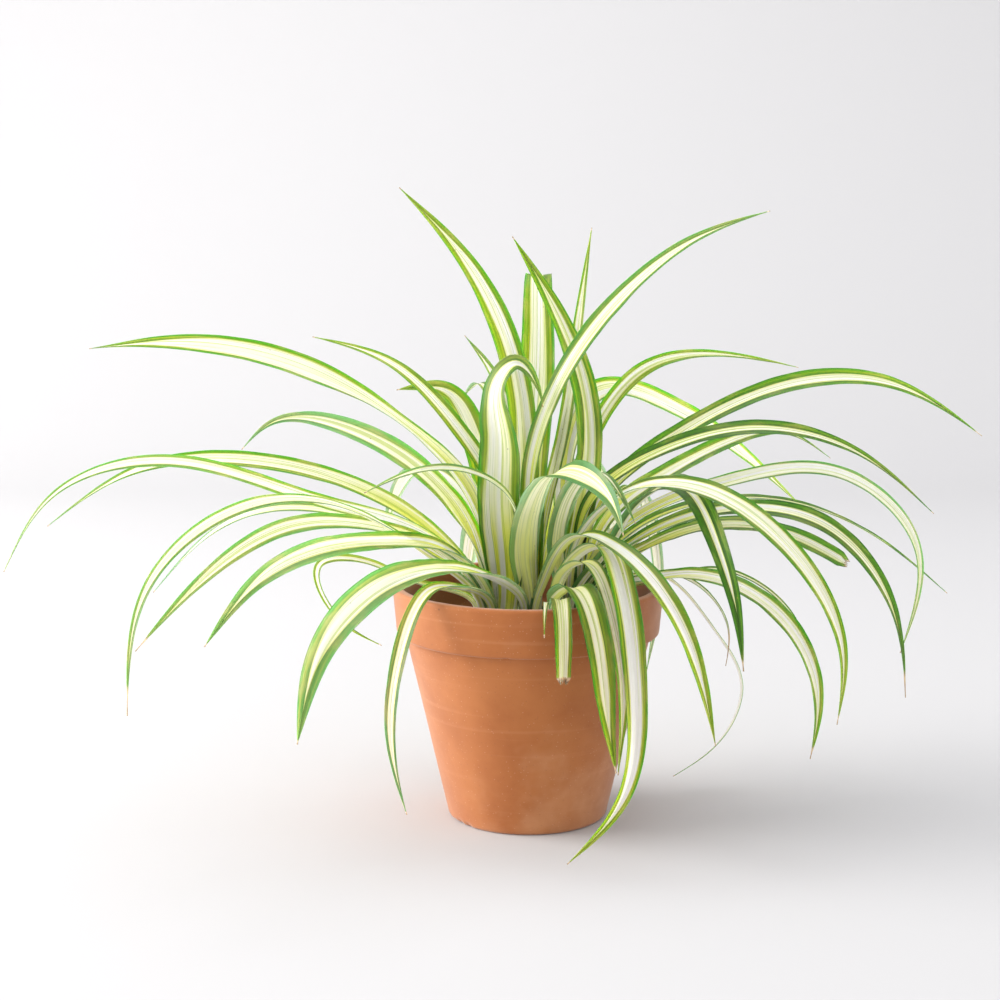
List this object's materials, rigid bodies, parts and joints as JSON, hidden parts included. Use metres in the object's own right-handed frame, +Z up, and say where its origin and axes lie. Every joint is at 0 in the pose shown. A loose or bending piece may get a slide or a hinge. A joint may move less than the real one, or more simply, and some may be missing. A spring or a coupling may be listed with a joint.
{
  "type": "potted spider plant",
  "caption": "Spider plant with long arching striped leaves, growing from a crown of short stems in a tapered clay flowerpot filled with soil.",
  "frame": {"origin": "on the surface the pot stands on, on the pot's axis", "axes": "+Z up along the pot's axis, +X right and -Y to the front of the plant"},
  "size_m": [0.5464, 0.3834, 0.3473],
  "materials": {
    "fired_clay": "matte unglazed terracotta",
    "potting_soil": "crumbly, matte",
    "pale_stem": "satin",
    "striped_leaf": "satin, green margins and a cream centre"
  },
  "bodies": {
    "root": {"flowerpot": "fired_clay", "potting_soil": "potting_soil", "plant_crown": "pale_stem", "heart_broad_arch": "striped_leaf", "left_inner_fork": "striped_leaf", "left_high_long": "striped_leaf", "left_high_short": "striped_leaf", "left_far_upper": "striped_leaf", "left_far_sweep": "striped_leaf", "left_low_back": "striped_leaf", "left_mid_fall": "striped_leaf", "left_outer_fall": "striped_leaf", "left_broad_fall": "striped_leaf", "left_rim_drop": "striped_leaf", "left_rim_curl": "striped_leaf", "back_left_arch": "striped_leaf", "back_left_low": "striped_leaf", "tall_right_sweep": "striped_leaf", "front_centre_arch": "striped_leaf", "front_left_thin": "striped_leaf", "left_front_fall": "striped_leaf", "front_right_long": "striped_leaf", "tall_blunt": "striped_leaf", "tall_spike": "striped_leaf", "tall_left": "striped_leaf", "left_inner_broad": "striped_leaf", "heart_fork": "striped_leaf", "heart_short_back": "striped_leaf", "back_arch": "striped_leaf", "back_right_arch": "striped_leaf", "back_middle_low": "striped_leaf", "right_tall_lean": "striped_leaf", "right_high_back": "striped_leaf", "right_high_thin": "striped_leaf", "right_long_arch": "striped_leaf", "right_back_arch": "striped_leaf", "right_mid_arch": "striped_leaf", "right_dark_fall": "striped_leaf", "right_pale_hook": "striped_leaf", "right_straight_thin": "striped_leaf", "right_torn": "striped_leaf", "right_brown_curl": "striped_leaf", "right_front_cream": "striped_leaf", "right_front_fall": "striped_leaf", "right_front_thin": "striped_leaf", "right_brown_thin": "striped_leaf", "front_right_arch": "striped_leaf", "right_back_drop": "striped_leaf", "right_thin_loop": "striped_leaf", "back_right_fall": "striped_leaf", "front_floor_long": "striped_leaf", "front_behind": "striped_leaf", "front_drop": "striped_leaf", "front_short_torn": "striped_leaf", "front_short_narrow": "striped_leaf"}
  },
  "joints": []
}
